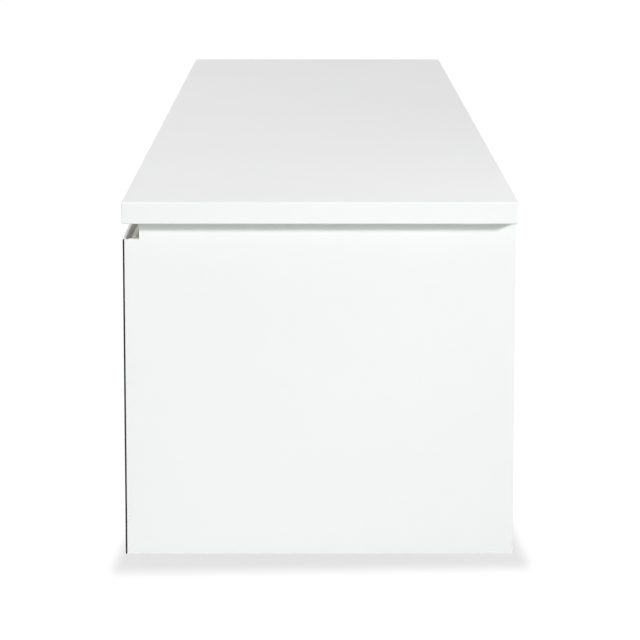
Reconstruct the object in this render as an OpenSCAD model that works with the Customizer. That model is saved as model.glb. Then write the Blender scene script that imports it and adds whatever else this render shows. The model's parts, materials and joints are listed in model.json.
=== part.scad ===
// Wall-hung sideboard: a mitred box under an overhanging top board, with two drawers and a centre flap.
// Millimetres. X runs along the cabinet, the fronts face -Y and the wall is the plane y = 0.
// The origin is the middle of the wall rail's screw line, on the wall.
// The sizes below are given from the wall (y) and from the underside of the body (z);
// placed() moves z = 0 to the screw line.

/* [Body] */
// Length over the two end panels
body_l = 2160; // [1900:20:2500]
// Depth from the wall to the outer face of the fronts
depth = 453; // [430:1:520]
// Height of the body under the top board
body_h = 390; // [370:5:450]
// Thickness of the end panels, dividers and bottom
board_t = 19; // [16:1:22]
// Distance between the centres of the two dividers
divider_pitch = 720; // [620:10:820]
// How far the end panels stop short of the wall
wall_setback = 2; // [0:0.5:4]

/* [Top board] */
// Thickness of the top board
top_t = 25; // [19:1:38]
// How far the top board passes each end panel
top_overhang = 20; // [8:1:40]
// Radius of the eased edges of the top board
top_edge_r = 1.2; // [0.5:0.1:4]

/* [Fronts] */
// Thickness of the drawer fronts and the flap
front_t = 19; // [18:1:22]
// Height of the finger gap under the top board
finger_h = 20; // [16:1:28]
// Gap between two neighbouring fronts
front_gap = 3; // [2:0.5:5]
// Gap between the fronts and the carcass behind them
front_clear = 2; // [1.5:0.5:4]
// Width of the mitre gap seen from the end
mitre_gap = 2; // [1.3:0.1:3]
// Thickness of the dark seal on the mitre
seal_t = 0.8; // [0.4:0.1:0.8]
// Thickness of the lip in front of the grip trim
lip_t = 2.8; // [2.4:0.2:5]

/* [Grip trim] */
// Depth of the rebate that holds the grip trim
trim_h = 12; // [8:1:16]
// Thickness of the floor of the grip trim
trim_floor_t = 2; // [1.5:0.5:3]
// Width of the groove behind the lip
trim_groove_w = 7.7; // [6:0.1:8]
// Thickness of the upright leg of the grip trim
trim_leg_t = 4.3; // [3:0.1:4.8]
// How far the rear step lies below the leg
trim_step = 1.2; // [0.5:0.1:3]
// Height and width of the rib along the groove floor
trim_rib = 1.6; // [1:0.1:2]

/* [Grip channel] */
// Sheet thickness of the grip channel
channel_t = 1.5; // [1:0.5:2.5]
// Height of the grip channel
channel_h = 54; // [44:1:64]
// Room for the fingers behind the fronts
finger_depth = 26; // [20:1:36]
// Height of the turned-up front edge of the channel
channel_lip_h = 5; // [3:0.5:8]

/* [Back and shelf] */
// Gap between the edges of the back panel and the floors of its grooves
back_edge_gap = 0.5; // [0.5:0.5:2]
// Thickness of the back panel
back_t = 8; // [6:1:10]
// Space behind the back panel for the rails and cables
back_recess = 20; // [18:1:30]
// Depth of the grooves that hold the back panel
back_groove = 6; // [3:1:8]
// Thickness of the shelf
shelf_t = 16; // [12:1:19]
// Height of the underside of the shelf
shelf_z = 198; // [194:1:230]
// Gap between the shelf and the back panel
shelf_back_gap = 20; // [5:1:60]
// How far the shelf starts behind the grip channel's front face
shelf_front_gap = 8; // [0:1:60]
// Gap between the shelf and each divider
shelf_end_gap = 1; // [0.5:0.5:2]
// Diameter of the shelf pins
shelf_pin_d = 5; // [4:1:6]
// Distance of the shelf pins from the edges of the shelf
shelf_pin_inset = 40; // [20:5:80]
// Length of a shelf pin
shelf_pin_l = 16; // [12:1:18]
// Diameter of the cable outlet
outlet_d = 60; // [50:2:80]
// Height of the centre of the cable outlet
outlet_z = 75; // [70:5:110]
// Wall thickness of the cable grommet
grommet_wall = 2.8; // [2:0.2:4]
// Width of the grommet's flange
grommet_flange_w = 5; // [3:0.5:8]
// Thickness of the grommet's flange
grommet_flange_t = 2; // [1:0.5:3]

/* [Wall fixing] */
// Thickness of the wall rail and the hanging rail
rail_t = 16; // [14:1:17]
// Height of the wall rail at the wall
wall_rail_h = 60; // [50:5:80]
// Height of the hanging rail at its rear face
hanging_rail_h = 50; // [46:1:60]
// Distance from the top board down to the hanging rail
hanging_rail_drop = 3; // [1:1:8]
// How far each rail stops short of the end panels
rail_end_gap = 30; // [5:5:80]
// Height of the screw line above the lower edge of the wall rail
screw_line = 24; // [18:1:30]
// Diameter of the screw holes in the wall rail
wall_hole_d = 8; // [6:0.5:10]
// Diameter of their countersinks
wall_sink_d = 16; // [12:1:17]
// Distance between the two inner wall screws
inner_wall_pitch = 600; // [400:50:800]
// Distance between the two outer wall screws
outer_wall_pitch = 1800; // [1200:50:1800]

/* [Board joints] */
// Diameter of the cam housings
cam_d = 15; // [12:1:15]
// Depth of the cam housings
cam_h = 12.5; // [11:0.5:13]
// Distance from the joint to the cam's centre
cam_reach = 34; // [24:1:34]
// Diameter of the cam bolts
cam_bolt_d = 6; // [5:0.5:7]
// How far a cam bolt enters the mating board
cam_bolt_grip = 11; // [8:1:12]
// Diameter of the dowels
dowel_d = 8; // [6:1:8]
// Length of the dowels
dowel_l = 28; // [20:1:30]
// Distance from a dowel to its neighbouring cam
dowel_step = 32; // [25:1:40]
// Distance of the front joints from the edge of the carcass
joint_front = 60; // [50:5:90]
// Distance of the rear joints from the back panel
joint_rear = 32; // [20:1:60]
// Clearance all round a fitting in its hole
fit_gap = 0.1; // [0.05:0.05:0.2]

/* [Drawers] */
// Thickness of the drawer sides and back
drawer_t = 15; // [12:1:16]
// Height of the drawer sides
drawer_h = 220; // [160:5:230]
// Height of the underside of the drawer sides
drawer_z = 45; // [30:1:50]
// Gap between a drawer and the back panel
drawer_back_gap = 46; // [20:1:60]
// Thickness of the drawer bottom
drawer_bottom_t = 8; // [5:1:10]
// Height of the drawer bottom above the lower edge of the sides
drawer_bottom_up = 8; // [6:1:12]
// Depth of the grooves that hold the drawer bottom
drawer_groove = 6; // [4:1:7]
// Diameter of the bolts that hold the front
front_bolt_d = 7; // [5:1:8]
// How far the front bolts enter the sides
front_bolt_l = 34; // [20:1:40]
// How far the front bolts enter the front
front_bolt_grip = 11; // [8:1:13]
// Distance of the front bolts from the edges of the sides
front_bolt_inset = 36; // [20:1:60]
// Diameter of the corner screws at the drawer back
corner_screw_d = 5; // [4:0.5:6]
// Length of the corner screws
corner_screw_l = 45; // [35:1:50]
// Diameter of their heads
corner_head_d = 9; // [8:0.5:10]
// Thickness of their heads
corner_head_t = 3; // [2:0.5:4]
// Distance of the upper corner screws from the top of the sides
corner_screw_drop = 32; // [20:1:50]

/* [Runners] */
// Space that a runner fills between the carcass and the drawer
runner_w = 12.7; // [12.7:0.1:14]
// Height of a runner
runner_h = 45; // [45:1:52]
// How far the runners stop short of the drawer's back
runner_end_gap = 7; // [2:1:30]
// How far the runners start behind the front edge of the carcass
runner_setback = 1; // [0.5:0.5:3]
// Height of the middle of the runners
runner_z = 84; // [80:1:110]
// Sheet thickness of the runner members
runner_t = 1.2; // [1:0.1:1.5]
// Width of the cabinet member's flanges
cabinet_flange_w = 8.5; // [7:0.5:9.5]
// Width of the middle member's flanges
middle_flange_w = 7.8; // [7:0.2:8.4]
// Width of the drawer member's flanges
inner_flange_w = 7.1; // [6.5:0.1:8]
// Gap between the screw heads in a runner and its middle member
web_gap = 0.3; // [0.2:0.1:0.5]
// Distance of the outer ball cages from the carcass
outer_cage_u = 5.6; // [5.2:0.1:6.2]
// Distance of the inner ball cages from the carcass
inner_cage_u = 8; // [7.6:0.1:8.4]
// Gap that the balls fill between two members
ball_gap = 3; // [2.6:0.1:3.4]
// Gap between a ball and the members it rolls on
ball_clear = 0.1; // [0.05:0.05:0.2]
// Thickness of a ball cage
cage_t = 0.8; // [0.6:0.1:1.2]
// Width of a ball cage
cage_w = 3; // [2.5:0.1:3.5]
// Number of balls in a cage
cage_balls = 4; // [3:1:6]
// Gap between a cage's ends and the ends of the overlap at full travel
cage_end_gap = 8; // [4:1:30]
// Distance of the runner screws from the ends of the members
runner_screw_inset = 60; // [40:5:80]

/* [Flap] */
// Distance from the flap's inner face to the hinge axis
pivot_in = 3.5; // [3.5:0.1:5]
// Height of the hinge axis above the flap's lower edge
pivot_up = 4; // [4:0.1:6]
// Clearance behind the flap's lower corner as it swings
swing_clear = 1; // [0.5:0.5:2]
// Outer diameter of the hinge knuckles
knuckle_d = 6; // [5:0.5:6]
// Diameter of the hinge pins
hinge_pin_d = 3; // [2.5:0.5:3.5]
// Running clearance all round a pin
run_gap = 0.05; // [0.02:0.01:0.09]
// Length of a hinge
hinge_l = 50; // [40:2:70]
// Length of the middle knuckle
hinge_mid_l = 17; // [14:1:20]
// Gap between two knuckles
knuckle_gap = 0.4; // [0.2:0.1:0.6]
// Sheet thickness of the hinge leaves
leaf_t = 1.5; // [1:0.1:2]
// Gap between a leaf's edge and the knuckles or the edge of the board
leaf_edge = 0.8; // [0.5:0.1:1.2]
// Distance of the hinge screws from the middle of a hinge
hinge_screw_step = 15; // [12:1:20]
// Distance of the base screws from the upper face of the bottom
base_screw_drop = 6; // [5:0.5:7]
// Height of the leaf screws above the flap's lower edge
leaf_screw_up = 24; // [18:1:28]
// Height of the flap's leaf above its lower edge
leaf_h = 36; // [30:1:45]
// Distance of the hinges from the dividers
hinge_inset = 80; // [50:5:150]
// Angle that the flap opens
flap_angle = 90; // [80:1:92]

/* [Flap stays] */
// Distance of both stay pivots from the hinge axis
stay_r = 180; // [160:2:185]
// Angle of the guide's pivot from the upright
guide_angle = 35; // [30:1:42]
// Distance of the rod's pivot from the flap
rod_stand = 12; // [11:0.5:14]
// Distance of the rods from the dividers
rod_inset = 16; // [14:1:20]
// Diameter of the rods
rod_d = 6; // [5:0.5:6]
// Diameter of the eye at the end of a rod
eye_d = 14; // [12:1:16]
// Width of the eye along its pin
eye_w = 7; // [6.5:0.5:8]
// Diameter of the pin in the eye
stay_pin_d = 6; // [5:0.5:6.5]
// Side gap between the eye and the ears of its bracket
ear_gap = 0.4; // [0.2:0.1:0.6]
// Thickness of the ears and the plate of a bracket
ear_t = 2; // [1.5:0.5:3]
// Height of the plate of a bracket
bracket_h = 40; // [36:2:50]
// Distance of the bracket screws from the ends of the plate
bracket_screw_inset = 5; // [4:0.5:6]
// Width of the plate of a bracket
bracket_w = 26; // [22:2:30]
// Diameter of the rounded ears
ear_d = 12; // [10:1:12]
// Half the length of a guide along its rod
guide_half = 9; // [7:1:12]
// Half the width of a guide across its rod
guide_side = 8; // [6:1:9]
// Diameter of the barrel between a guide and the divider
barrel_d = 14; // [11:1:15]
// Clearance of the rod in its guide
guide_gap = 0.3; // [0.1:0.1:0.5]
// Diameter of the spigot that a guide turns on
spigot_d = 8; // [6:1:9]
// Length of the spigot inside the divider
spigot_l = 12; // [8:1:13]
// Gap between a guide and the divider
guide_stand = 0.8; // [0.4:0.1:0.9]
// Gap between the stop collar and the guide when the flap is open
stop_gap = 0.6; // [0.4:0.1:1]
// Diameter of the stop collar on a rod
collar_d = 11; // [9:1:13]
// Length of the stop collar
collar_l = 5; // [4:1:8]

/* [Flap catch] */
// Width of the magnet housing
magnet_w = 40; // [30:2:60]
// Depth of the magnet housing
magnet_depth = 15; // [12:1:18]
// Height of the magnet housing
magnet_h = 12; // [8:1:16]
// Gap between the magnet and its strike plate
magnet_gap = 0.5; // [0.3:0.1:0.8]
// Width of the strike plate
strike_w = 30; // [20:2:40]
// Height of the strike plate
strike_h = 14; // [10:1:18]

/* [Small screws] */
// Diameter of the small screws
screw_d = 3; // [2.5:0.5:3.5]
// Diameter of their heads
screw_head_d = 5.6; // [5:0.2:6]
// Thickness of their heads
screw_head_t = 1; // [0.6:0.1:1]
// Length of a small screw under its head
screw_l = 13; // [10:1:14]
// Diameter of the screws through the hanging rail
rail_screw_d = 5; // [4:0.5:6]
// Length of the screws through the hanging rail
rail_screw_l = 45; // [40:1:46]
// Diameter of their heads
rail_head_d = 10; // [8:1:12]
// Thickness of their heads
rail_head_t = 3; // [2:0.5:4]
// Distances of these screws from the top of the hanging rail
rail_screw_drops = [9, 24]; // [8:1:40]

/* [Hidden] */
$fn = 48;
cut = 1;
left = -1;
right = 1;

lacquer = "white";
melamine = "whitesmoke";
anodised = "#bcb7ad";
zinc = "silver";
ash = "#d9bf94";
seal_grey = "#3c3c3c";

top_l = body_l + 2 * top_overhang;
end_x = body_l / 2;
inner_x = end_x - board_t;
divider_x = divider_pitch / 2;
bay_x = divider_x - board_t / 2;
outer_bay_x = divider_x + board_t / 2;

front_y = -depth;
front_in = front_y + front_t;
front_h = body_h - finger_h;
carcass_y = front_in + front_clear;
back_y = -back_recess;
back_in = back_y - back_t;
channel_in = front_in + finger_depth;
channel_z = body_h - channel_h;

shelf_y = [channel_in + shelf_front_gap, back_in - shelf_back_gap];
rail_side_gap = back_recess - rail_t;
hanging_top = body_h - hanging_rail_drop;
hanging_low = hanging_top - hanging_rail_h;
wall_rail_top = hanging_low - rail_side_gap;
wall_rail_low = wall_rail_top - wall_rail_h;
screw_z = wall_rail_low + screw_line;
rail_half = inner_x - rail_end_gap;

flap_half = divider_x - front_gap / 2;
pivot_y = front_in + pivot_in;
pivot_z = pivot_up;
corner_r = norm([pivot_in, pivot_up]);
floor_front = pivot_y + corner_r + swing_clear;
hinge_x = bay_x - hinge_inset;

stay_x = bay_x - rod_inset;
eye_angle = asin((front_in + rod_stand - pivot_y) / stay_r);
eye_pos = [pivot_y + stay_r * sin(eye_angle), pivot_z + stay_r * cos(eye_angle)];
guide_pos = [pivot_y + stay_r * sin(guide_angle), pivot_z + stay_r * cos(guide_angle)];
stay_open = 2 * stay_r * sin((guide_angle - eye_angle + flap_angle) / 2);
rod_l = stay_open + guide_half + stop_gap + collar_l;
rod_tilt = atan2(eye_pos[0] - guide_pos[0], guide_pos[1] - eye_pos[1]);

side_x = inner_x - runner_w;
side_in_x = outer_bay_x + runner_w;
drawer_back_y = back_in - drawer_back_gap;
runner_y = carcass_y + runner_setback;
runner_l = drawer_back_y - runner_end_gap - runner_y;
travel = runner_l;
cage_l = travel / 2 - 2 * cage_end_gap;
flange_1 = runner_h / 2 - runner_t;
flange_2 = flange_1 - ball_gap;
flange_3 = flange_2 - runner_t - ball_gap;
ball_r = ball_gap / 2 - ball_clear;

strike_t = front_clear - magnet_gap;
strike_z = channel_z - magnet_h / 2;

// Placing

module placed() translate([0, 0, -screw_z]) children();

module hand(side) {
    if (side == right) children();
    else mirror([1, 0, 0]) children();
}

module both_hands() {
    children();
    mirror([1, 0, 0]) children();
}

// Basic shapes: a block between two corners, and outlines drawn out along one axis

function around(middle, half) = [middle - half, middle + half];
function from(start, length) = [start, start + length];
function moved(values, by) = [for (value = values) value + by];

function past(gap) = gap > 0 ? cut : 0;

module block(x, y, z) {
    translate([x[0], y[0], z[0]]) cube([x[1] - x[0], y[1] - y[0], z[1] - z[0]]);
}

module along_x(x) {
    translate([x[0], 0, 0]) rotate([90, 0, 90]) linear_extrude(x[1] - x[0]) children();
}

module along_y(y) {
    translate([0, y[1], 0]) rotate([90, 0, 0]) linear_extrude(y[1] - y[0]) children();
}

module area(y, z) {
    translate([y[0], z[0]]) square([y[1] - y[0], z[1] - z[0]]);
}

module bar_x(x, y, z, d) {
    translate([x[0], y, z]) rotate([0, 90, 0]) cylinder(d = d, h = x[1] - x[0]);
}

module bar_y(x, y, z, d) {
    translate([x, y[1], z]) rotate([90, 0, 0]) cylinder(d = d, h = y[1] - y[0]);
}

module eased(w, h, r) {
    translate([r, 0]) square([w - 2 * r, h]);
    translate([0, r]) square([w, h - 2 * r]);
    for (x = [r, w - r], y = [r, h - r]) translate([x, y]) circle(r);
}

module eased_board(x, y, z, r) {
    intersection() {
        along_x(x) translate([y[0], z[0]]) eased(y[1] - y[0], z[1] - z[0], r);
        along_y(y) translate([x[0], z[0]]) eased(x[1] - x[0], z[1] - z[0], r);
        translate([x[0], y[0], z[0]]) linear_extrude(z[1] - z[0]) eased(x[1] - x[0], y[1] - y[0], r);
    }
}

// Board joints: in a joint's own frame the joint plane is z = 0, the mating board lies above it and the
// cam opens on the face x = board_t / 2

joint_y = [carcass_y + joint_front, back_in - joint_rear];
dowel_y = [dowel_step, -dowel_step];
upright_x = [-end_x + board_t / 2, -divider_x, divider_x, end_x - board_t / 2];

module top_joints(xs, piece) {
    for (x = xs, i = [0, 1]) {
        translate([x, joint_y[i], body_h]) hand(x < 0 ? right : left) joint_piece(piece, dowel_y[i]);
    }
}

module divider_floor_joints(xs, piece) {
    for (x = xs, i = [0, 1]) {
        translate([x, joint_y[i], board_t]) mirror([0, 0, 1]) {
            hand(x < 0 ? right : left) joint_piece(piece, dowel_y[i]);
        }
    }
}

module end_floor_joints(sides, piece) {
    for (side = sides, i = [0, 1]) {
        hand(side) translate([inner_x, joint_y[i], board_t / 2]) {
            mirror([1, 0, -1]) joint_piece(piece, dowel_y[i]);
        }
    }
}

module all_joints(piece) {
    top_joints(upright_x, piece);
    divider_floor_joints([-divider_x, divider_x], piece);
    end_floor_joints([left, right], piece);
}

module joint_piece(piece, step) {
    if (piece == "bolt") cam_bolt();
    if (piece == "cam") cam_housing();
    if (piece == "dowel") translate([0, step, 0]) dowel();
    if (piece == "holes") {
        cam_bolt(fit_gap);
        cam_disc(fit_gap);
        translate([0, step, 0]) dowel(fit_gap);
    }
}

module cam_bolt(gap = 0) {
    start = cam_bolt_d / 2 - cam_reach;
    translate([0, 0, start]) cylinder(d = cam_bolt_d + 2 * gap, h = cam_bolt_grip - start + gap);
}

module cam_disc(gap = 0) {
    translate([board_t / 2 - cam_h - gap, 0, -cam_reach]) {
        rotate([0, 90, 0]) cylinder(d = cam_d + 2 * gap, h = cam_h + gap + past(gap));
    }
}

module dowel(gap = 0) {
    translate([0, 0, -dowel_l / 2 - gap]) cylinder(d = dowel_d + 2 * gap, h = dowel_l + 2 * gap);
}

module cam_housing() {
    slot_w = 1.6;
    slot_l = cam_d * 0.6;
    face = board_t / 2;
    difference() {
        cam_disc();
        translate([0, 0, -cam_reach]) cylinder(d = cam_bolt_d + 4 * fit_gap, h = cam_d);
        block([face - slot_w, face + cut], around(0, slot_l / 2), around(-cam_reach, slot_w / 2));
    }
}

// Carcass

module top_panel() {
    color(lacquer) placed() difference() {
        eased_board(around(0, top_l / 2), [front_y, 0], from(body_h, top_t), top_edge_r);
        back_groove_cut([body_h - cut, body_h + back_groove]);
        top_joints(upright_x, "holes");
    }
}

module back_groove_cut(z) {
    block(around(0, inner_x + back_groove), [back_in - fit_gap, back_y + fit_gap], z);
}

module end_panel(side) {
    color(lacquer) placed() hand(side) difference() {
        linear_extrude(body_h) polygon([
            [inner_x, front_y + mitre_gap + board_t],
            [end_x, front_y + mitre_gap],
            [end_x, -wall_setback],
            [inner_x, -wall_setback]
        ]);
        block([inner_x - cut, end_x + cut], [front_y - cut, front_in], [front_h, body_h + cut]);
        back_groove_cut([-cut, body_h + cut]);
        top_joints([end_x - board_t / 2], "holes");
        end_floor_joints([right], "holes");
        runner_screws([side_of_end()], fit_gap);
    }
}

module bottom_panel() {
    color(melamine) placed() difference() {
        block([-inner_x, inner_x], [carcass_y, back_in], [0, board_t]);
        block([-divider_x, divider_x], [carcass_y - cut, floor_front], [-cut, board_t + cut]);
        divider_floor_joints([-divider_x, divider_x], "holes");
        end_floor_joints([left, right], "holes");
        both_hands() hinge_base_screws(fit_gap);
    }
}

module divider(side) {
    color(melamine) placed() hand(side) difference() {
        block([bay_x, outer_bay_x], [carcass_y, back_in], [board_t, body_h]);
        block(
            [bay_x - cut, outer_bay_x + cut],
            [carcass_y - cut, channel_in + channel_t + fit_gap],
            [channel_z - fit_gap, body_h + cut]
        );
        top_joints([divider_x], "holes");
        divider_floor_joints([divider_x], "holes");
        shelf_pin_row(fit_gap / 2);
        spigot_hole = [bay_x - cut, bay_x + spigot_l + fit_gap];
        bar_x(spigot_hole, guide_pos[0], guide_pos[1], spigot_d + 2 * run_gap);
        runner_screws([side_of_divider()], fit_gap);
        rail_screws(fit_gap);
    }
}

module back_panel() {
    color(melamine) placed() difference() {
        block(
            around(0, inner_x + back_groove - back_edge_gap),
            [back_in, back_y],
            [0, body_h + back_groove - back_edge_gap]
        );
        bar_y(0, [back_in - cut, back_y + cut], outlet_z, outlet_d);
        both_hands() rail_screws(fit_gap);
    }
}

module grip_channel() {
    channel_out = channel_in + channel_t;
    color(anodised) placed() difference() {
        along_x(around(0, inner_x - fit_gap)) {
            area([carcass_y, channel_out], from(channel_z, channel_t));
            area(from(carcass_y, channel_t), from(channel_z, channel_lip_h));
            area([channel_in, channel_out], [channel_z, body_h]);
        }
        both_hands() magnet_screw(fit_gap);
    }
}

module shelf() {
    color(melamine) placed() {
        block(around(0, bay_x - shelf_end_gap), shelf_y, from(shelf_z, shelf_t));
    }
}

module shelf_pin_row(gap = 0) {
    for (y = [shelf_y[0] + shelf_pin_inset, shelf_y[1] - shelf_pin_inset]) {
        bar_x(
            [bay_x - shelf_pin_l / 2, bay_x + shelf_pin_l / 2 + gap],
            y,
            shelf_z - shelf_pin_d / 2 - fit_gap / 2,
            shelf_pin_d + 2 * gap
        );
    }
}

module shelf_pins() {
    color(zinc) placed() both_hands() shelf_pin_row();
}

module cable_grommet() {
    outer_r = outlet_d / 2 - 2 * fit_gap;
    flange_r = outlet_d / 2 + grommet_flange_w;
    color("dimgray") placed() translate([0, back_y, outlet_z]) rotate([90, 0, 0]) rotate_extrude() {
        area([outer_r - grommet_wall, outer_r], [0, back_t + grommet_flange_t]);
        area([outer_r - grommet_wall, flange_r], [back_t, back_t + grommet_flange_t]);
    }
}

// Wall fixing: two bevelled rails that hook over each other

module hanging_rail() {
    color(ash) placed() difference() {
        along_x([-rail_half, rail_half]) polygon([
            [back_y, hanging_low + rail_t],
            [back_y + rail_t, hanging_low],
            [back_y + rail_t, hanging_top],
            [back_y, hanging_top]
        ]);
        both_hands() rail_screws(fit_gap);
    }
}

module wall_rail() {
    color(ash) placed() difference() {
        along_x([-rail_half, rail_half]) polygon([
            [0, wall_rail_low],
            [0, wall_rail_top],
            [-rail_t, wall_rail_top + rail_t],
            [-rail_t, wall_rail_low]
        ]);
        sink_h = (wall_sink_d - wall_hole_d) / 2;
        for (x = [-outer_wall_pitch, -inner_wall_pitch, inner_wall_pitch, outer_wall_pitch] / 2) {
            bar_y(x, [-rail_t - cut, cut], screw_z, wall_hole_d);
            translate([x, -rail_t - cut, screw_z]) rotate([-90, 0, 0]) {
                cylinder(d1 = wall_sink_d + 2 * cut, d2 = wall_hole_d, h = sink_h + cut);
            }
        }
    }
}

module rail_screws(gap = 0) {
    face = back_y + rail_t;
    for (drop = rail_screw_drops) {
        z = hanging_top - drop;
        end = face + past(gap);
        bar_y(divider_x, [face - rail_screw_l - gap, end], z, rail_screw_d + 2 * gap);
        bar_y(divider_x, [face - rail_head_t - gap, end], z, rail_head_d + 2 * gap);
    }
}

// Screws of the carcass, each with its hole from the same module

module small_screw(gap = 0) {
    translate([0, 0, -screw_l - gap]) cylinder(d = screw_d + 2 * gap, h = screw_l + gap + past(gap));
    cylinder(d = screw_head_d + 2 * gap, h = screw_head_t + gap);
}

module hinge_base_screws(gap = 0) {
    z = board_t - base_screw_drop;
    for (x = around(hinge_x, hinge_screw_step)) {
        translate([x, floor_front - leaf_t, z]) rotate([90, 0, 0]) small_screw(gap);
    }
}

module runner_screws(walls, gap = 0) {
    for (wall = walls, y = moved([runner_screw_inset, runner_l - runner_screw_inset], runner_y)) {
        translate([wall[0], y, runner_z]) rotate([0, wall[1] * 90, 0]) {
            translate([0, 0, runner_t]) small_screw(gap);
        }
    }
}

module carcass_screws() {
    color(zinc) placed() both_hands() {
        rail_screws();
        hinge_base_screws();
        runner_screws([side_of_end(), side_of_divider()]);
        magnet_screw();
    }
}

module cam_housings() {
    color(zinc) placed() all_joints("cam");
}

module cam_bolts() {
    color(zinc) placed() all_joints("bolt");
}

module dowels() {
    color(ash) placed() all_joints("dowel");
}

// Runners: u runs from the carcass to the drawer side and v up from the runner's middle. A wall is the
// face that carries the runner and the direction of u.

function side_of_end() = [inner_x, -1];
function side_of_divider() = [outer_bay_x, 1];

module on_wall(wall, y) {
    translate([wall[0], y[1], runner_z]) {
        if (wall[1] > 0) rotate([90, 0, 0]) linear_extrude(y[1] - y[0]) children();
        else mirror([1, 0, 0]) rotate([90, 0, 0]) linear_extrude(y[1] - y[0]) children();
    }
}

module member(u, half, web) {
    area(web, [-half, half]);
    for (v = [[half - runner_t, half], [-half, runner_t - half]]) area(u, v);
}

module cabinet_section() {
    member([0, cabinet_flange_w], runner_h / 2, [0, runner_t]);
}

module middle_section() {
    start = runner_t + screw_head_t + web_gap;
    member([start, start + middle_flange_w], flange_2, from(start, runner_t));
}

module inner_section() {
    member([runner_w - inner_flange_w, runner_w], flange_3, [runner_w - runner_t, runner_w]);
}

module cabinet_runner(side, wall) {
    color(zinc) placed() hand(side) difference() {
        on_wall(wall, [runner_y, runner_y + runner_l]) cabinet_section();
        runner_screws([wall], fit_gap);
    }
}

module middle_runner(side, wall) {
    color(zinc) placed() hand(side) {
        on_wall(wall, [runner_y, runner_y + runner_l]) middle_section();
    }
}

module inner_runner(side, wall) {
    color(zinc) placed() hand(side) difference() {
        on_wall(wall, [runner_y, runner_y + runner_l]) inner_section();
        drawer_runner_screws([wall], fit_gap);
    }
}

module ball_cage(x, y, v) {
    pitch = cage_l / cage_balls;
    translate([x, y, runner_z + v]) {
        block(around(0, cage_w / 2), [0, cage_l], around(0, cage_t / 2));
        for (i = [0 : cage_balls - 1]) translate([0, (i + 0.5) * pitch, 0]) sphere(ball_r);
    }
}

module ball_cages(side) {
    outer_v = flange_1 - ball_gap / 2;
    inner_v = flange_3 + ball_gap / 2;
    outer_y = runner_y + travel / 2 + cage_end_gap;
    inner_y = runner_y + travel / 2 - cage_end_gap - cage_l;
    color(zinc) placed() hand(side) {
        for (wall = [side_of_end(), side_of_divider()], up = [-1, 1]) {
            ball_cage(wall[0] + wall[1] * outer_cage_u, outer_y, up * outer_v);
            ball_cage(wall[0] + wall[1] * inner_cage_u, inner_y, up * inner_v);
        }
    }
}

// Fronts: an outline in plan, drawn up to the finger gap, with a rebate for the grip trim

function drawer_plan() = [
    [divider_x + front_gap / 2, front_y],
    [end_x, front_y],
    [end_x - front_t, front_in],
    [divider_x + front_gap / 2, front_in]
];
function flap_plan() = [
    [-flap_half, front_y],
    [flap_half, front_y],
    [flap_half, front_in],
    [-flap_half, front_in]
];

module front_blank(plan) {
    difference() {
        linear_extrude(front_h) polygon(plan);
        block([-end_x, end_x], [front_y + lip_t, front_in + cut], [front_h - trim_h, front_h + cut]);
    }
}

module trim_profile() {
    floor_y = front_y + lip_t;
    floor_z = front_h - trim_h;
    leg_y = floor_y + trim_groove_w;
    rib_y = floor_y + trim_groove_w / 2;
    area([floor_y, front_in], [floor_z, floor_z + trim_floor_t]);
    area([rib_y - trim_rib / 2, rib_y + trim_rib / 2], [floor_z, floor_z + trim_floor_t + trim_rib]);
    area([leg_y, leg_y + trim_leg_t], [floor_z, front_h]);
    area([leg_y, front_in], [floor_z, front_h - trim_step]);
}

module grip_trim(plan) {
    intersection() {
        linear_extrude(front_h) polygon(plan);
        along_x([-end_x, end_x]) trim_profile();
    }
}

// Drawer

module drawer_front(side) {
    color(lacquer) placed() hand(side) difference() {
        front_blank(drawer_plan());
        front_bolts(fit_gap);
    }
}

module drawer_grip_trim(side) {
    color(anodised) placed() hand(side) grip_trim(drawer_plan());
}

module drawer_mitre_seal(side) {
    step = seal_t * sqrt(2);
    color(seal_grey) placed() hand(side) linear_extrude(front_h) polygon([
        [end_x, front_y],
        [end_x, front_y + step],
        [end_x - front_t, front_in + step],
        [end_x - front_t, front_in]
    ]);
}

module drawer_side(side, at_end) {
    x = at_end ? [side_x - drawer_t, side_x] : [side_in_x, side_in_x + drawer_t];
    face = at_end ? x[0] : x[1];
    groove_z = drawer_z + drawer_bottom_up;
    color(ash) placed() hand(side) difference() {
        block(x, [front_in, drawer_back_y], [drawer_z, drawer_z + drawer_h]);
        block(
            around(face, drawer_groove),
            [front_in - cut, drawer_back_y + cut],
            [groove_z - fit_gap, groove_z + drawer_bottom_t + fit_gap]
        );
        front_bolts(fit_gap);
        corner_screws(fit_gap);
        drawer_runner_screws([side_of_end(), side_of_divider()], fit_gap);
    }
}

module drawer_back(side) {
    color(ash) placed() hand(side) difference() {
        block(
            [side_in_x + drawer_t, side_x - drawer_t],
            [drawer_back_y - drawer_t, drawer_back_y],
            [drawer_z + drawer_bottom_up + drawer_bottom_t, drawer_z + drawer_h]
        );
        corner_screws(fit_gap);
    }
}

module drawer_bottom(side) {
    play = drawer_groove - 4 * fit_gap;
    z = drawer_z + drawer_bottom_up;
    color(ash) placed() hand(side) block(
        [side_in_x + drawer_t - play, side_x - drawer_t + play],
        [front_in, drawer_back_y],
        [z, z + drawer_bottom_t]
    );
}

module front_bolts(gap = 0) {
    for (x = [side_x - drawer_t / 2, side_in_x + drawer_t / 2]) {
        for (z = [drawer_z + front_bolt_inset, drawer_z + drawer_h - front_bolt_inset]) {
            y = [front_in - front_bolt_grip - gap, front_in + front_bolt_l + gap];
            bar_y(x, y, z, front_bolt_d + 2 * gap);
        }
    }
}

module corner_screw(gap) {
    mirror([0, 0, 1]) translate([0, 0, -past(gap)]) {
        cylinder(d = corner_screw_d + 2 * gap, h = corner_screw_l + gap + past(gap));
        cylinder(d = corner_head_d + 2 * gap, h = corner_head_t + gap + past(gap));
    }
}

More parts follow.
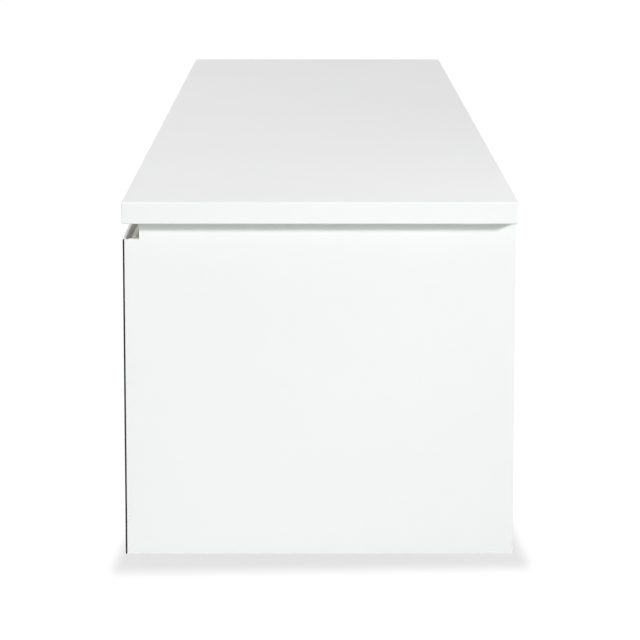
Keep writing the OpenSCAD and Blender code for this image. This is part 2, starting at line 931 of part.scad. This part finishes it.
module corner_screws(gap = 0) {
    for (z = [drawer_z + drawer_h / 2, drawer_z + drawer_h - corner_screw_drop]) {
        translate([side_x, drawer_back_y - drawer_t / 2, z]) rotate([0, 90, 0]) corner_screw(gap);
        translate([side_in_x, drawer_back_y - drawer_t / 2, z]) rotate([0, -90, 0]) corner_screw(gap);
    }
}

module drawer_runner_screws(walls, gap = 0) {
    for (wall = walls, y = moved([runner_screw_inset, runner_l - runner_screw_inset], runner_y)) {
        translate([wall[0] + wall[1] * (runner_w - runner_t), y, runner_z]) {
            rotate([0, -wall[1] * 90, 0]) small_screw(gap);
        }
    }
}

module drawer_screws(side) {
    color(zinc) placed() hand(side) {
        front_bolts();
        corner_screws();
        drawer_runner_screws([side_of_end(), side_of_divider()]);
    }
}

// Flap and its hinges

module flap_front() {
    color(lacquer) placed() difference() {
        front_blank(flap_plan());
        both_hands() flap_screw_set(fit_gap);
    }
}

module flap_grip_trim() {
    color(anodised) placed() grip_trim(flap_plan());
}

module knuckles(spans) {
    for (span = spans) bar_x(moved(span, hinge_x), pivot_y, pivot_z, knuckle_d);
}

module hinge_bore() {
    bar_x(around(hinge_x, hinge_l), pivot_y, pivot_z, hinge_pin_d + 2 * run_gap);
}

module hinge_base() {
    half = hinge_l / 2;
    mid = hinge_mid_l / 2 + knuckle_gap;
    spans = [[-half, -mid], [mid, half]];
    web_z = [pivot_z + knuckle_d / 2 - leaf_t, pivot_z + knuckle_d / 2];
    plate_y = [floor_front - leaf_t, floor_front];
    difference() {
        union() {
            knuckles(spans);
            for (span = spans) {
                block(moved(span, hinge_x), [pivot_y, plate_y[1]], web_z);
            }
            block(around(hinge_x, half), plate_y, [web_z[0], board_t - leaf_edge]);
        }
        hinge_bore();
        hinge_base_screws(fit_gap);
    }
}

module hinge_leaf() {
    half = hinge_l / 2;
    mid = hinge_mid_l / 2;
    plate_y = [front_in, front_in + leaf_t];
    plate_z = pivot_z + knuckle_d / 2 + leaf_edge;
    difference() {
        union() {
            knuckles([[-mid, mid]]);
            block(around(hinge_x, mid), plate_y, [pivot_z, leaf_h]);
            block(around(hinge_x, half), plate_y, [plate_z, leaf_h]);
        }
        hinge_bore();
        leaf_screws(fit_gap);
    }
}

module flap_hinge_bases() {
    color(zinc) placed() both_hands() hinge_base();
}

module flap_hinge_leaves() {
    color(zinc) placed() both_hands() hinge_leaf();
}

module flap_hinge_pins() {
    color(zinc) placed() both_hands() bar_x(around(hinge_x, hinge_l / 2), pivot_y, pivot_z, hinge_pin_d);
}

// A small screw on the flap's inner face, its head standing stand above the face

module flap_screw(x, z, stand, gap) {
    translate([x, front_in + stand, z]) rotate([-90, 0, 0]) small_screw(gap);
}

module leaf_screws(gap = 0) {
    for (x = around(hinge_x, hinge_screw_step)) flap_screw(x, leaf_screw_up, leaf_t, gap);
}

module bracket_screws(gap = 0) {
    for (z = around(eye_pos[1], bracket_h / 2 - bracket_screw_inset)) flap_screw(stay_x, z, ear_t, gap);
}

module strike_screw(gap = 0) {
    flap_screw(strike_w / 4, strike_z, strike_t - screw_head_t, gap);
}

module flap_screw_set(gap = 0) {
    leaf_screws(gap);
    bracket_screws(gap);
    strike_screw(gap);
}

module flap_screws() {
    color(zinc) placed() both_hands() flap_screw_set();
}

// Flap catch: a magnet under the grip channel and a strike plate on the flap

module flap_magnet() {
    color("dimgray") placed() difference() {
        block(
            around(0, magnet_w / 2),
            from(carcass_y, magnet_depth),
            [channel_z - magnet_h, channel_z]
        );
        both_hands() magnet_screw(fit_gap);
    }
}

module magnet_screw(gap = 0) {
    x = magnet_w / 2 - screw_head_d;
    translate([x, carcass_y + magnet_depth / 2, channel_z - magnet_h - past(gap)]) {
        cylinder(d = screw_d + 2 * gap, h = magnet_h + channel_t + 2 * past(gap));
        cylinder(d = screw_head_d + 2 * gap, h = screw_head_t + gap + past(gap));
    }
}

module flap_strike_plate() {
    color(zinc) placed() difference() {
        block(around(0, strike_w / 2), from(front_in, strike_t), around(strike_z, strike_h / 2));
        both_hands() strike_screw(fit_gap);
    }
}

// Flap stays: a rod turns on the flap and slides through a guide that swivels in the divider. Both pivots
// are stay_r from the hinge axis, so rod and guide turn by half the flap's angle.

module along_rod(pos) {
    translate([stay_x, pos[0], pos[1]]) rotate([rod_tilt, 0, 0]) children();
}

module stay_rod(side) {
    color(zinc) placed() hand(side) difference() {
        along_rod(eye_pos) {
            bar_x(around(0, eye_w / 2), 0, 0, eye_d);
            cylinder(d = rod_d, h = rod_l);
            translate([0, 0, rod_l - collar_l]) cylinder(d = collar_d, h = collar_l);
        }
        along_rod(eye_pos) bar_x(around(0, eye_w), 0, 0, stay_pin_d + 2 * run_gap);
    }
}

module stay_guide(side) {
    color(zinc) placed() hand(side) difference() {
        along_rod(guide_pos) {
            block(around(0, guide_side), around(0, guide_side), around(0, guide_half));
            bar_x([0, rod_inset - guide_stand], 0, 0, barrel_d);
            bar_x([0, rod_inset + spigot_l], 0, 0, spigot_d);
        }
        along_rod(guide_pos) translate([0, 0, -2 * guide_half]) {
            cylinder(d = rod_d + 2 * guide_gap, h = 4 * guide_half);
        }
    }
}

module stay_bracket() {
    in_x = eye_w / 2 + ear_gap;
    difference() {
        union() {
            block(
                around(stay_x, bracket_w / 2),
                from(front_in, ear_t),
                around(eye_pos[1], bracket_h / 2)
            );
            for (x = moved([-in_x - ear_t, in_x], stay_x)) {
                bar_x(from(x, ear_t), eye_pos[0], eye_pos[1], ear_d);
                block(from(x, ear_t), [front_in, eye_pos[0]], around(eye_pos[1], ear_d / 2));
            }
            bar_x(around(stay_x, in_x + ear_t / 2), eye_pos[0], eye_pos[1], stay_pin_d);
        }
        bracket_screws(fit_gap);
    }
}

module flap_stay_brackets() {
    color(zinc) placed() both_hands() stay_bracket();
}

top_panel();
end_panel(left);  // end_panel_left
end_panel(right);  // end_panel_right
bottom_panel();
divider(left);  // divider_left
divider(right);  // divider_right
back_panel();
grip_channel();
shelf();
shelf_pins();
cable_grommet();
hanging_rail();
wall_rail();
carcass_screws();
cam_housings();
cam_bolts();
dowels();
cabinet_runner(left, side_of_end());  // left_drawer_cabinet_runner_left
cabinet_runner(left, side_of_divider());  // left_drawer_cabinet_runner_right
cabinet_runner(right, side_of_divider());  // right_drawer_cabinet_runner_left
cabinet_runner(right, side_of_end());  // right_drawer_cabinet_runner_right
flap_hinge_bases();
flap_hinge_pins();
flap_magnet();
drawer_front(left);  // left_drawer_front
drawer_grip_trim(left);  // left_drawer_grip_trim
drawer_mitre_seal(left);  // left_drawer_mitre_seal
drawer_side(left, true);  // left_drawer_side_left
drawer_side(left, false);  // left_drawer_side_right
drawer_back(left);  // left_drawer_back
drawer_bottom(left);  // left_drawer_bottom
drawer_screws(left);  // left_drawer_screws
inner_runner(left, side_of_end());  // left_drawer_inner_runner_left
inner_runner(left, side_of_divider());  // left_drawer_inner_runner_right
middle_runner(left, side_of_end());  // left_drawer_middle_runner_left
middle_runner(left, side_of_divider());  // left_drawer_middle_runner_right
ball_cages(left);  // left_drawer_ball_cages
drawer_front(right);  // right_drawer_front
drawer_grip_trim(right);  // right_drawer_grip_trim
drawer_mitre_seal(right);  // right_drawer_mitre_seal
drawer_side(right, false);  // right_drawer_side_left
drawer_side(right, true);  // right_drawer_side_right
drawer_back(right);  // right_drawer_back
drawer_bottom(right);  // right_drawer_bottom
drawer_screws(right);  // right_drawer_screws
inner_runner(right, side_of_divider());  // right_drawer_inner_runner_left
inner_runner(right, side_of_end());  // right_drawer_inner_runner_right
middle_runner(right, side_of_divider());  // right_drawer_middle_runner_left
middle_runner(right, side_of_end());  // right_drawer_middle_runner_right
ball_cages(right);  // right_drawer_ball_cages
flap_front();
flap_grip_trim();
flap_hinge_leaves();
flap_strike_plate();
flap_stay_brackets();
flap_screws();
stay_rod(left);  // flap_stay_rod_left
stay_rod(right);  // flap_stay_rod_right
stay_guide(left);  // flap_stay_guide_left
stay_guide(right);  // flap_stay_guide_right
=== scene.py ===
"""White wall-hung sideboard, seen end-on, over a plain white floor in soft studio light."""

import json
import math

import bpy
from mathutils import Matrix, Vector


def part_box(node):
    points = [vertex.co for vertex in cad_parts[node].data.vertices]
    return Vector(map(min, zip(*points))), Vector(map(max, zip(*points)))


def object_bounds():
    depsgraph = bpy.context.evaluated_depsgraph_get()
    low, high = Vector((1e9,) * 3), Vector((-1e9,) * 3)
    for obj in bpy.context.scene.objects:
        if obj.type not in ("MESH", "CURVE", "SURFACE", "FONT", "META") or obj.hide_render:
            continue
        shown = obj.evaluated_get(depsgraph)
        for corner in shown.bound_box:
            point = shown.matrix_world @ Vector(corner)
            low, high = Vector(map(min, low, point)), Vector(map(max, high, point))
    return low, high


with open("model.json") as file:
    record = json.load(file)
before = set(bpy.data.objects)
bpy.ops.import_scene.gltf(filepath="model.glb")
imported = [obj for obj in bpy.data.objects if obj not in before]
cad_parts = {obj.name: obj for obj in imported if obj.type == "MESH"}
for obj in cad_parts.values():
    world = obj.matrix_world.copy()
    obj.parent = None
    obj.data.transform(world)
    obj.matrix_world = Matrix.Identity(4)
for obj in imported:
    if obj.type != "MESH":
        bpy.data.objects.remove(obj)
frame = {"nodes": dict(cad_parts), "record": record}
cad_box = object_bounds()
nodes = frame["nodes"]

# Camera, fitted to the edges of the top board and the end panel in the photograph. Angles are in degrees,
# and all lengths in this script are in metres unless their name says otherwise.

CAMERA_PLACE = Vector((4.4639, -0.2345, 0.5293))
CAMERA_PITCH = 9.2343
CAMERA_YAW = 0.1345
CAMERA_ROLL = 0.0227
FOCAL_LENGTH_PX = 2976.2
PHOTO_WIDTH_PX = 640
SENSOR_WIDTH_MM = 36.0
CAMERA_REACH = 100.0

# Floor. Below the part a shadow is painted on it, which lets a little of the real shadow show through its
# dark matt.
# The white share is how much of its plain white is left in the middle of that painted shadow.

FLOOR_DROP = 0.025
FLOOR_HALF_WIDTH = 40.0
FLOOR_WHITE = 1.03
FLOOR_BOUNCE_COLOUR = (0.48, 0.52, 0.48, 1.0)
# the dark matt that the camera sees within the painted shadow, through which a little of the real shadow
# shows
FLOOR_PAINTED_SHADOW_COLOUR = (0.12, 0.12, 0.12, 1.0)
PAINTED_SHADOW_WHITE = 0.744

# The outline of the painted shadow on the floor, measured from the part's box, and the width of its soft
# edges. Both ends lie aslant, by the skew along X for each metre along Y. Away from the near end, between
# the two distances WAIST_BEGINS and WAIST_COMPLETE, the sides draw in by the waist.

PAINTED_SHADOW_FAR_INSET = 0.04
PAINTED_SHADOW_NEAR_INSET = 0.0895
PAINTED_SHADOW_FRONT_OUTSET = 0.0057
PAINTED_SHADOW_REAR_OUTSET = 0.0101
PAINTED_SHADOW_SKEW = 0.0533
PAINTED_SHADOW_WAIST = 0.0092
WAIST_BEGINS = 0.011
WAIST_COMPLETE = 0.316
END_FADE = 0.0835
SIDE_FADE = 0.024

# World. The surfaces see plain white around them and are lit by a weaker, faintly tinted light.

WORLD_LIGHT_COLOUR = (0.97, 1.02, 0.93, 1.0)
WORLD_LIGHT_STRENGTH = 0.19
PLAIN_WHITE = (1.0, 1.0, 1.0, 1.0)

# Ash boards, each with its own stretch of the grain and one of a few tones.

GRAIN_SHIFT = 3.7
DARKEST_ASH = 0.95
ASH_TONE_STEP = 0.03
ASH_TONES = 4


class Graph:
    """A node tree with short calls. A value is a number, a colour, a vector or another node's output."""

    def __init__(self, tree):
        self.tree = tree

    def add(self, kind, values=None, **settings):
        """A new node with its settings, and with values for its inputs."""
        node = self.tree.nodes.new(kind)
        for name, setting in settings.items():
            setattr(node, name, setting)
        for key, value in (values or {}).items():
            self.feed(value, node.inputs[key])
        return node

    def feed(self, value, socket):
        if isinstance(value, bpy.types.NodeSocket):
            self.tree.links.new(value, socket)
        else:
            socket.default_value = value

    def maths(self, operation, *values):
        return self.add("ShaderNodeMath", dict(enumerate(values)), operation=operation).outputs[0]

    def mapped(self, value, first, last, start=0.0, end=1.0, interpolation="LINEAR"):
        """Runs from first to last while the value runs from start to end."""
        values = {"Value": value, "From Min": start, "From Max": end, "To Min": first, "To Max": last}
        return self.add("ShaderNodeMapRange", values, interpolation_type=interpolation).outputs["Result"]

    def end_in_mix(self, share, first, second, output):
        """Ends in a mix of two shaders, with a share of the second."""
        mix = self.add("ShaderNodeMixShader", {0: share, 1: first.outputs[0], 2: second.outputs[0]})
        self.add(output, {"Surface": mix.outputs[0]})


class Finish(Graph):
    """A new material's shader and the patterns that feed it, which lie in metres in the part's frame."""

    def __init__(self, name):
        self.material = bpy.data.materials.new(name)
        self.material.use_nodes = True
        super().__init__(self.material.node_tree)
        self.shader = self.tree.nodes["Principled BSDF"]
        self.place = self.add("ShaderNodeTexCoord").outputs["Object"]

    def stretched(self, scale, shift=0.0):
        """The places, scaled along x, y and z, and shifted."""
        values = {"Vector": self.place, "Scale": scale, "Location": (shift, shift, shift)}
        return self.add("ShaderNodeMapping", values).outputs["Vector"]

    def noise(self, scale=1.0, detail=3.0, rough=0.5, place=None):
        """Soft noise with so many features to a metre, or to a unit of the places given."""
        values = {"Vector": place or self.place, "Scale": scale, "Detail": detail, "Roughness": rough}
        return self.add("ShaderNodeTexNoise", values).outputs["Fac"]

    def ramp(self, value, stops):
        """The colour at a value, between stops of a position and a colour."""
        node = self.add("ShaderNodeValToRGB", {"Fac": value})
        elements = node.color_ramp.elements
        while len(elements) < len(stops):
            elements.new(0.5)
        for element, (position, colour) in zip(elements, stops):
            element.position = position
            element.color = (*colour, 1.0)
        return node.outputs["Color"]

    def multiplied(self, colour, by, share=1.0):
        values = {"Factor": share, "A": colour, "B": by}
        return self.add("ShaderNodeMix", values, data_type="RGBA", blend_type="MULTIPLY").outputs["Result"]

    def bump(self, height, depth, strength=1.0, over=None):
        """Relief of a depth in metres, over another relief where one is given."""
        values = {"Height": height, "Distance": depth, "Strength": strength}
        if over:
            values["Normal"] = over
        return self.add("ShaderNodeBump", values).outputs["Normal"]

    def done(self, colour, roughness, normal, **numbers):
        """Feeds the shader and gives the material. An underscore in a number's name stands for a space."""
        values = {"Base Color": colour, "Roughness": roughness, "Normal": normal}
        values.update({name.replace("_", " "): number for name, number in numbers.items()})
        for name, value in values.items():
            self.feed(value, self.shader.inputs[name])
        return self.material


def scaled(colour, factor):
    return tuple(channel * factor for channel in colour)


def lacquer():
    """Sprayed satin lacquer: a faint orange peel, long low waves and a slightly uneven sheen."""
    finish = Finish("white_lacquer")
    white = (0.9, 0.906, 0.903)
    colour = finish.ramp(finish.noise(scale=3.5, detail=4.0), [(0.3, scaled(white, 0.988)), (0.7, white)])
    peel = finish.bump(finish.noise(scale=420.0, detail=2.0), depth=0.00012, strength=0.35)
    relief = finish.bump(finish.noise(scale=28.0, detail=2.0), depth=0.0004, strength=0.1, over=peel)
    sheen = finish.mapped(finish.noise(scale=9.0), first=0.36, last=0.46)
    return finish.done(colour, sheen, relief, Specular_IOR_Level=0.42)


def melamine():
    """Melamine board: matt white with a fine pearl grain."""
    finish = Finish("white_board")
    white = (0.85, 0.86, 0.84)
    grain = finish.noise(scale=900.0)
    colour = finish.ramp(grain, [(0.35, scaled(white, 0.975)), (0.65, white)])
    sheen = finish.mapped(finish.noise(scale=60.0), first=0.5, last=0.62)
    relief = finish.bump(grain, depth=0.0001, strength=0.5)
    return finish.done(colour, sheen, relief, Specular_IOR_Level=0.4)


def anodised():
    """Drawn and anodised metal: fine lines along its length and a soft sheen."""
    finish = Finish("anodised_metal")
    grey, plain = (0.95, 0.93, 0.88), (1.0, 1.0, 1.0)
    lines = finish.noise(detail=4.0, rough=0.6, place=finish.stretched((6.0, 2600.0, 2600.0)))
    drawn = finish.ramp(lines, [(0.3, scaled(grey, 0.93)), (0.7, grey)])
    patches = finish.ramp(finish.noise(scale=7.0, detail=2.0), [(0.3, scaled(plain, 0.96)), (0.7, plain)])
    sheen = finish.mapped(lines, first=0.34, last=0.5)
    relief = finish.bump(lines, depth=0.00004, strength=0.5)
    return finish.done(finish.multiplied(drawn, patches), sheen, relief, Metallic=0.3)


def zinc():
    """Zinc plated steel: faintly blue, clouded, with small handling scuffs."""
    finish = Finish("zinced_steel")
    clouds = finish.noise(scale=55.0, detail=5.0, rough=0.65)
    scuffs = finish.noise(place=finish.stretched((90.0, 1400.0, 500.0)))
    colour = finish.ramp(clouds, [(0.32, (0.52, 0.54, 0.57)), (0.7, (0.7, 0.71, 0.72))])
    sheen = finish.mapped(clouds, first=0.26, last=0.42)
    relief = finish.bump(scuffs, depth=0.00003, strength=0.4)
    return finish.done(colour, sheen, relief, Metallic=1.0)


def ash(name, along, shift, tone):
    """Oiled ash: growth rings and fibres along one axis of the board, and open dark pores."""
    finish = Finish(name)

    def grain(across, lengthways):
        scale = [across] * 3
        scale[along] = lengthways
        return finish.stretched(scale, shift)

    rings = finish.add(
        "ShaderNodeTexWave",
        {
            "Vector": grain(across=26.0, lengthways=1.8),
            "Scale": 1.0,
            "Distortion": 9.0,
            "Detail": 2.5,
            "Detail Scale": 0.7,
        },
        wave_type="RINGS",
        rings_direction="XYZ"[along],
        wave_profile="SAW",
    )
    early, late = scaled((0.71, 0.55, 0.36), tone), scaled((0.6, 0.44, 0.27), tone)
    ring_tones = [(0.0, early), (0.55, scaled(early, 0.96)), (0.93, late), (1.0, early)]
    growth = finish.ramp(rings.outputs["Fac"], ring_tones)
    fibre_tones = [(0.35, (0.86, 0.83, 0.8)), (0.6, (1.0, 1.0, 1.0))]
    fibres = finish.ramp(finish.noise(detail=4.0, place=grain(across=170.0, lengthways=3.0)), fibre_tones)
    pores = finish.noise(detail=2.0, place=grain(across=1500.0, lengthways=40.0))
    pore_colour = (0.45, 0.36, 0.28, 1.0)
    darkening = finish.mapped(pores, first=0.45, last=0.0, start=0.3, end=0.42)
    colour = finish.multiplied(finish.multiplied(growth, fibres), pore_colour, darkening)
    sheen = finish.mapped(pores, first=0.62, last=0.45, start=0.3, end=0.6)
    relief = finish.bump(pores, depth=0.00015, strength=0.4)
    return finish.done(colour, sheen, relief)


def rubber():
    """Extruded seal: near black, with a matt bloom."""
    finish = Finish("dark_seal")
    bloom = finish.noise(scale=140.0, detail=4.0)
    colour = finish.ramp(bloom, [(0.3, (0.014, 0.014, 0.015)), (0.75, (0.03, 0.03, 0.029))])
    sheen = finish.mapped(bloom, first=0.7, last=0.85)
    relief = finish.bump(finish.noise(scale=1800.0), depth=0.00005, strength=0.4)
    return finish.done(colour, sheen, relief, Specular_IOR_Level=0.3)


def plastic():
    """Moulded dark plastic with a fine spark-eroded grain."""
    finish = Finish("dark_plastic")
    grain = finish.noise(scale=1500.0)
    clouds = finish.noise(scale=30.0)
    colour = finish.ramp(clouds, [(0.3, (0.032, 0.033, 0.035)), (0.7, (0.05, 0.051, 0.053))])
    sheen = finish.mapped(grain, first=0.42, last=0.6)
    relief = finish.bump(grain, depth=0.00008, strength=0.5)
    return finish.done(colour, sheen, relief)


def ash_board(name, count):
    """A material for one ash board, with the grain along its length."""
    low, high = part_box(name)
    along = 0 if high.x - low.x > high.y - low.y else 1
    tone = DARKEST_ASH + ASH_TONE_STEP * (count % ASH_TONES)
    return ash("ash_" + name, along, GRAIN_SHIFT * count, tone)


def dress_nodes():
    """Gives each CAD node the finish of its material slot."""
    by_slot = {
        "white_lacquer": lacquer(),
        "white_board": melamine(),
        "anodised_metal": anodised(),
        "zinced_steel": zinc(),
        "dark_seal": rubber(),
        "dark_plastic": plastic(),
    }
    for count, entry in enumerate(frame["record"]["subparts"]):
        name, slot = entry["node"], entry["material_slot"]
        materials = nodes[name].data.materials
        materials.clear()
        materials.append(ash_board(name, count) if slot == "ash" else by_slot[slot])


def place_camera():
    """A camera at the photograph's place: it looks along -X, pitched down, yawed towards the wall."""
    pitch, yaw, roll = (math.radians(angle) for angle in (CAMERA_PITCH, CAMERA_YAW, CAMERA_ROLL))
    ahead = Vector((-math.cos(pitch) * math.cos(yaw), math.cos(pitch) * math.sin(yaw), -math.sin(pitch)))
    level = Vector((math.sin(yaw), math.cos(yaw), 0.0))
    rise = level.cross(ahead)
    right = level * math.cos(roll) + rise * math.sin(roll)
    up = rise * math.cos(roll) - level * math.sin(roll)
    data = bpy.data.cameras.new("camera")
    data.sensor_width = SENSOR_WIDTH_MM
    data.lens = FOCAL_LENGTH_PX / PHOTO_WIDTH_PX * SENSOR_WIDTH_MM
    data.clip_end = CAMERA_REACH
    camera = bpy.data.objects.new("camera", data)
    bpy.context.collection.objects.link(camera)
    turn = Matrix((right, up, -ahead)).transposed()
    camera.matrix_world = Matrix.Translation(CAMERA_PLACE) @ turn.to_4x4()
    bpy.context.scene.camera = camera


def cleared(owner):
    """The empty graph of a material or a world."""
    owner.use_nodes = True
    owner.node_tree.nodes.clear()
    return Graph(owner.node_tree)


def seen_directly(graph):
    """1 for rays from the camera, and for their reflections and what glass lets through; 0 for the rest."""
    path = graph.add("ShaderNodeLightPath")
    seen = path.outputs["Is Camera Ray"]
    for ray in ("Is Glossy Ray", "Is Transmission Ray"):
        seen = graph.maths("MAXIMUM", seen, path.outputs[ray])
    return seen


def beyond(graph, coordinate, limits, fade, inset=0.0):
    """How many fade widths a coordinate lies outside its limits, once they are drawn in by an inset."""
    low, high = limits
    below, above = graph.maths("SUBTRACT", low, coordinate), graph.maths("SUBTRACT", coordinate, high)
    away = graph.maths("ADD", graph.maths("MAXIMUM", below, above), inset)
    return graph.maths("DIVIDE", graph.maths("MAXIMUM", away, 0.0), fade)


def painted_shadow_white_share(graph):
    """How much of the floor's plain white shows: a part of it in the painted shadow below the part, and all
    of it around.
    """
    low, high = cad_box
    place = graph.add("ShaderNodeSeparateXYZ", {"Vector": graph.add("ShaderNodeTexCoord").outputs["Object"]})
    x, y = place.outputs["X"], place.outputs["Y"]
    x_limits = (low.x + PAINTED_SHADOW_FAR_INSET, high.x - PAINTED_SHADOW_NEAR_INSET)
    y_limits = (low.y - PAINTED_SHADOW_FRONT_OUTSET, high.y + PAINTED_SHADOW_REAR_OUTSET)
    waist = (high.x - WAIST_COMPLETE, high.x - WAIST_BEGINS)
    inset = graph.mapped(x, PAINTED_SHADOW_WAIST, 0.0, *waist, interpolation="SMOOTHSTEP")
    aslant = graph.maths("MULTIPLY_ADD", y, PAINTED_SHADOW_SKEW, x)
    ends = beyond(graph, aslant, x_limits, END_FADE)
    sides = beyond(graph, y, y_limits, SIDE_FADE, inset)
    away = graph.maths("SQRT", graph.maths("MULTIPLY_ADD", ends, ends, graph.maths("MULTIPLY", sides, sides)))
    return graph.mapped(away, PAINTED_SHADOW_WHITE, 1.0, interpolation="SMOOTHSTEP")


def floor_material():
    """White where the floor is seen, mixed with a dark matt in a shadow painted below the part; all matt for
    bounced light.
    """
    material = bpy.data.materials.new("floor")
    graph = cleared(material)
    seen = seen_directly(graph)
    tones = {"Factor": seen, "A": FLOOR_BOUNCE_COLOUR, "B": FLOOR_PAINTED_SHADOW_COLOUR}
    tone = graph.add("ShaderNodeMix", tones, data_type="RGBA").outputs["Result"]
    matt = graph.add("ShaderNodeBsdfDiffuse", {"Color": tone})
    white = graph.add("ShaderNodeEmission", {"Strength": FLOOR_WHITE})
    share = graph.maths("MULTIPLY", seen, painted_shadow_white_share(graph))
    graph.end_in_mix(share, matt, white, "ShaderNodeOutputMaterial")
    return material


def make_floor():
    """A wide floor a little below the part."""
    low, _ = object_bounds()
    z = low.z - FLOOR_DROP
    reach = FLOOR_HALF_WIDTH
    corners = [(-reach, -reach, z), (reach, -reach, z), (reach, reach, z), (-reach, reach, z)]
    mesh = bpy.data.meshes.new("floor")
    mesh.from_pydata(corners, [], [(0, 1, 2, 3)])
    mesh.materials.append(floor_material())
    floor = bpy.data.objects.new("floor", mesh)
    bpy.context.collection.objects.link(floor)


def make_world():
    """Plain white where it is seen, and a weaker tinted light on everything."""
    world = bpy.data.worlds.new("studio")
    bpy.context.scene.world = world
    graph = cleared(world)
    light = graph.add("ShaderNodeBackground", {"Color": WORLD_LIGHT_COLOUR, "Strength": WORLD_LIGHT_STRENGTH})
    white = graph.add("ShaderNodeBackground", {"Color": PLAIN_WHITE, "Strength": 1.0})
    graph.end_in_mix(seen_directly(graph), light, white, "ShaderNodeOutputWorld")


def add_light(data, place, aim):
    """A lamp that shows neither to the camera nor in reflections."""
    light = bpy.data.objects.new(data.name, data)
    light.location = place
    light.rotation_euler = (Vector(aim) - Vector(place)).to_track_quat("-Z", "Y").to_euler()
    light.visible_camera = False
    light.visible_glossy = False
    bpy.context.collection.objects.link(light)


def soft_box(name, place, aim, size, watts):
    """A rectangular lamp of a width and a height."""
    data = bpy.data.lights.new(name, "AREA")
    data.shape = "RECTANGLE"
    data.size, data.size_y = size
    data.energy = watts
    add_light(data, place, aim)


def key_light(place, strength, spread, colour):
    """A sun that shines from a place towards the origin, with its spread in degrees."""
    data = bpy.data.lights.new("key", "SUN")
    data.energy = strength
    data.color = colour
    data.angle = math.radians(spread)
    add_light(data, place, aim=(0.0, 0.0, 0.0))


dress_nodes()
place_camera()
make_floor()
make_world()

# left_box is there for the far end and side_box for the fronts, which only the other views show

key_light(place=(5.0, 5.8, 2.65), strength=2.54, spread=8.0, colour=(1.01, 1.0, 1.03))
soft_box("left_box", place=(-2.7, -0.2, -0.05), aim=(-1.1, -0.2, -0.1), size=(0.7, 0.35), watts=13.0)
soft_box("front_box", place=(1.9, -0.05, 0.3), aim=(1.0, -0.15, 0.05), size=(0.7, 0.35), watts=1.7)
soft_box("top_box", place=(1.0, -4.2, 6.2), aim=(0.5, -0.25, 0.0), size=(2.4, 1.8), watts=148.0)
soft_box("rear_box", place=(1.02, 0.4, 0.75), aim=(1.0, -0.1, 0.1), size=(0.5, 0.3), watts=0.8)
soft_box("side_box", place=(1.0, -4.6, 0.9), aim=(0.6, -0.45, 0.0), size=(2.4, 1.4), watts=72.0)

bpy.context.scene.view_settings.view_transform = "Standard"
